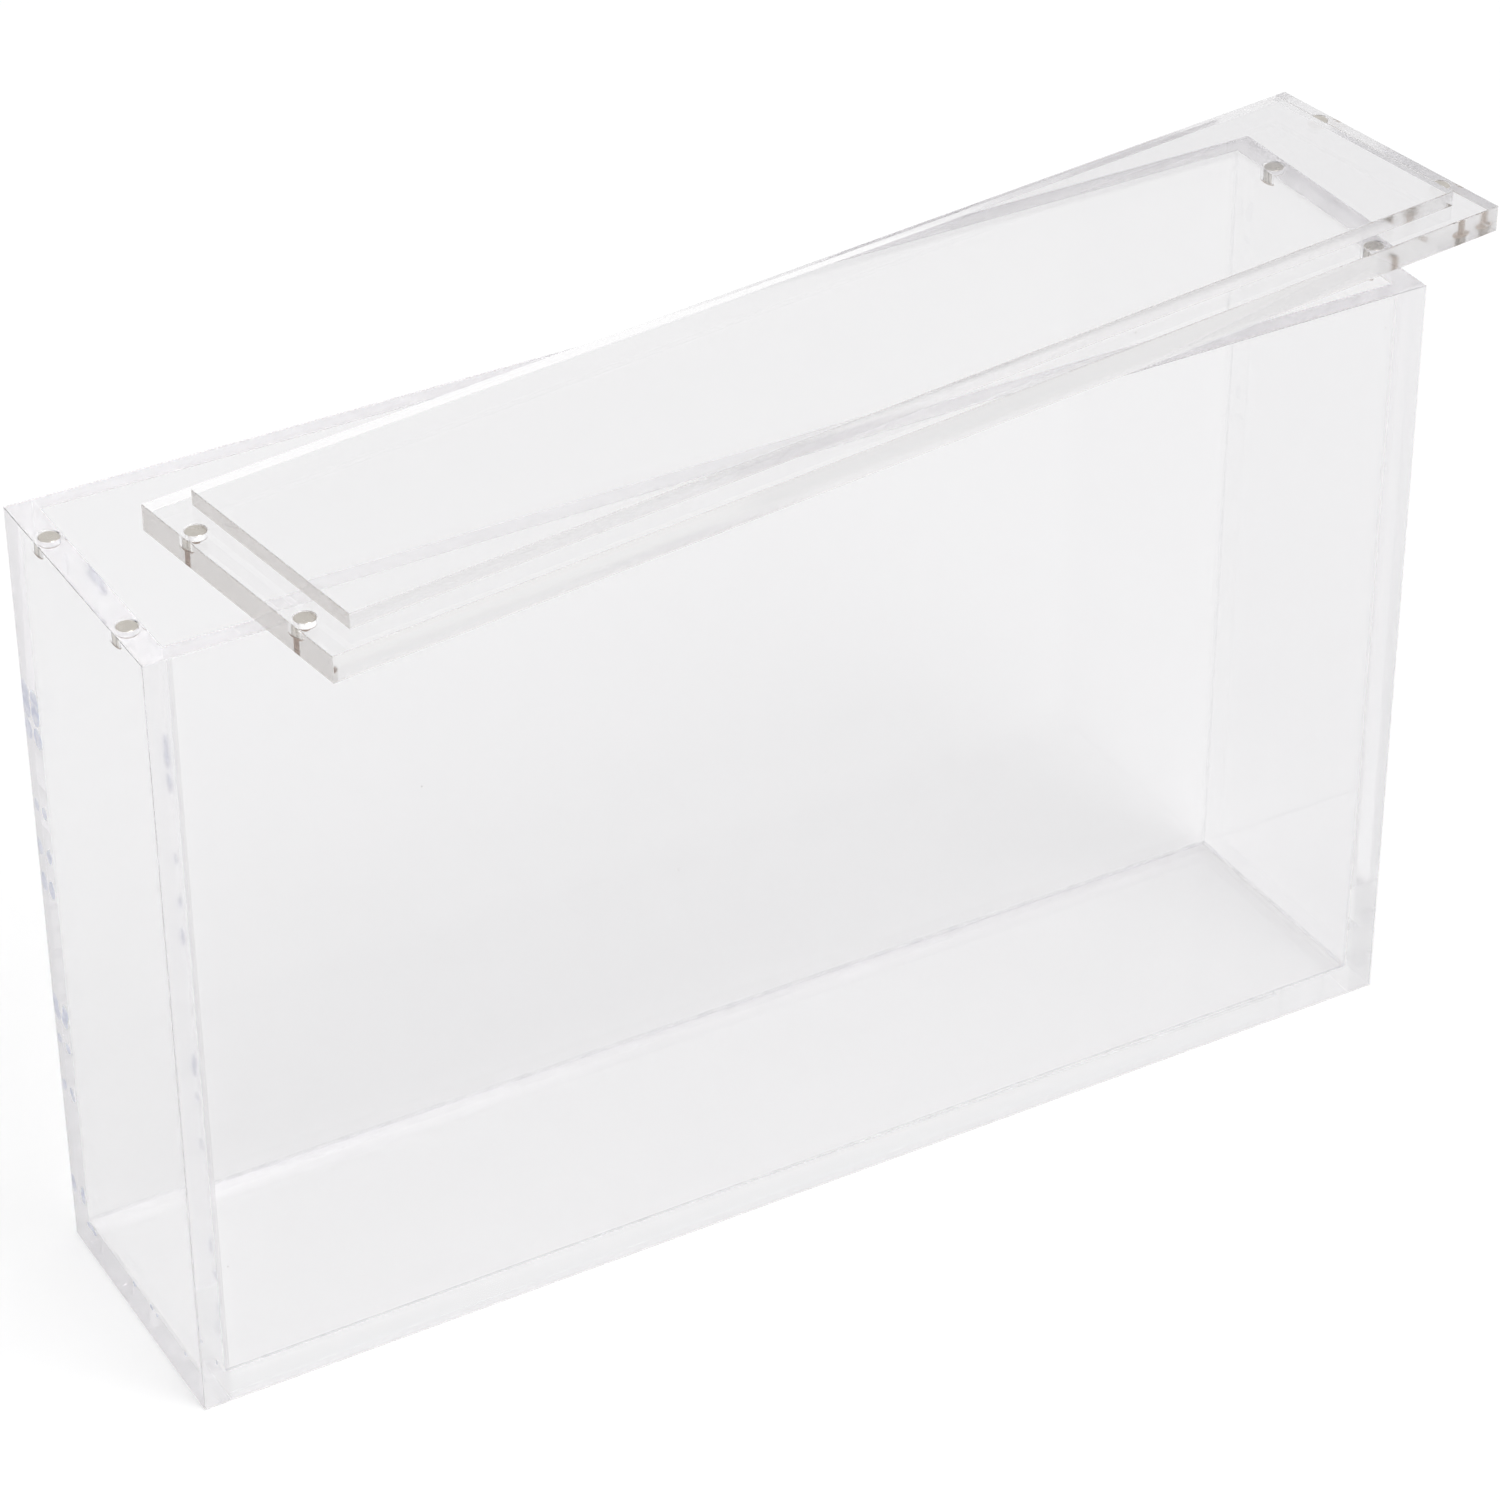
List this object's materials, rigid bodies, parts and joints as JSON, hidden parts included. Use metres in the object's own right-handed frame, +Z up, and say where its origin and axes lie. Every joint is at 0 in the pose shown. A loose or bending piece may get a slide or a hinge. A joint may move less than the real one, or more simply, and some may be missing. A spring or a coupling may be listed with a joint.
{
  "type": "pick holder",
  "caption": "Tall narrow clear acrylic box, open at the top, with a loose two-layer lid held by small disc magnets. The lid lies upside down and askew on the rim.",
  "frame": {"origin": "centre of the case's underside, which it stands on", "axes": "+Z up, +X along the length, towards the end that the askew lid overhangs, +Y towards the back panel"},
  "size_m": [0.2185, 0.0702, 0.1307],
  "materials": {
    "clear_acrylic": "polished",
    "magnet_nickel": "gloss",
    "magnet_adhesive": "gloss"
  },
  "bodies": {
    "case": {"left_end_panel": "clear_acrylic", "right_end_panel": "clear_acrylic", "front_panel": "clear_acrylic", "back_panel": "clear_acrylic", "base_panel": "clear_acrylic", "case_magnet_left_front": "magnet_nickel", "case_magnet_left_back": "magnet_nickel", "case_magnet_right_front": "magnet_nickel", "case_magnet_right_back": "magnet_nickel", "case_glue_left_front": "magnet_adhesive", "case_glue_left_back": "magnet_adhesive", "case_glue_right_front": "magnet_adhesive", "case_glue_right_back": "magnet_adhesive"},
    "lid": {"lid_plate": "clear_acrylic", "lid_plug": "clear_acrylic", "lid_magnet_left_front": "magnet_nickel", "lid_magnet_left_back": "magnet_nickel", "lid_magnet_right_front": "magnet_nickel", "lid_magnet_right_back": "magnet_nickel", "lid_glue_left_front": "magnet_adhesive", "lid_glue_left_back": "magnet_adhesive", "lid_glue_right_front": "magnet_adhesive", "lid_glue_right_back": "magnet_adhesive"}
  },
  "joints": [
    {"name": "lid_lift", "type": "slide", "parent": "case", "child": "lid", "axis": [0, 0, 1], "range_m": [0, 0.08]}
  ]
}
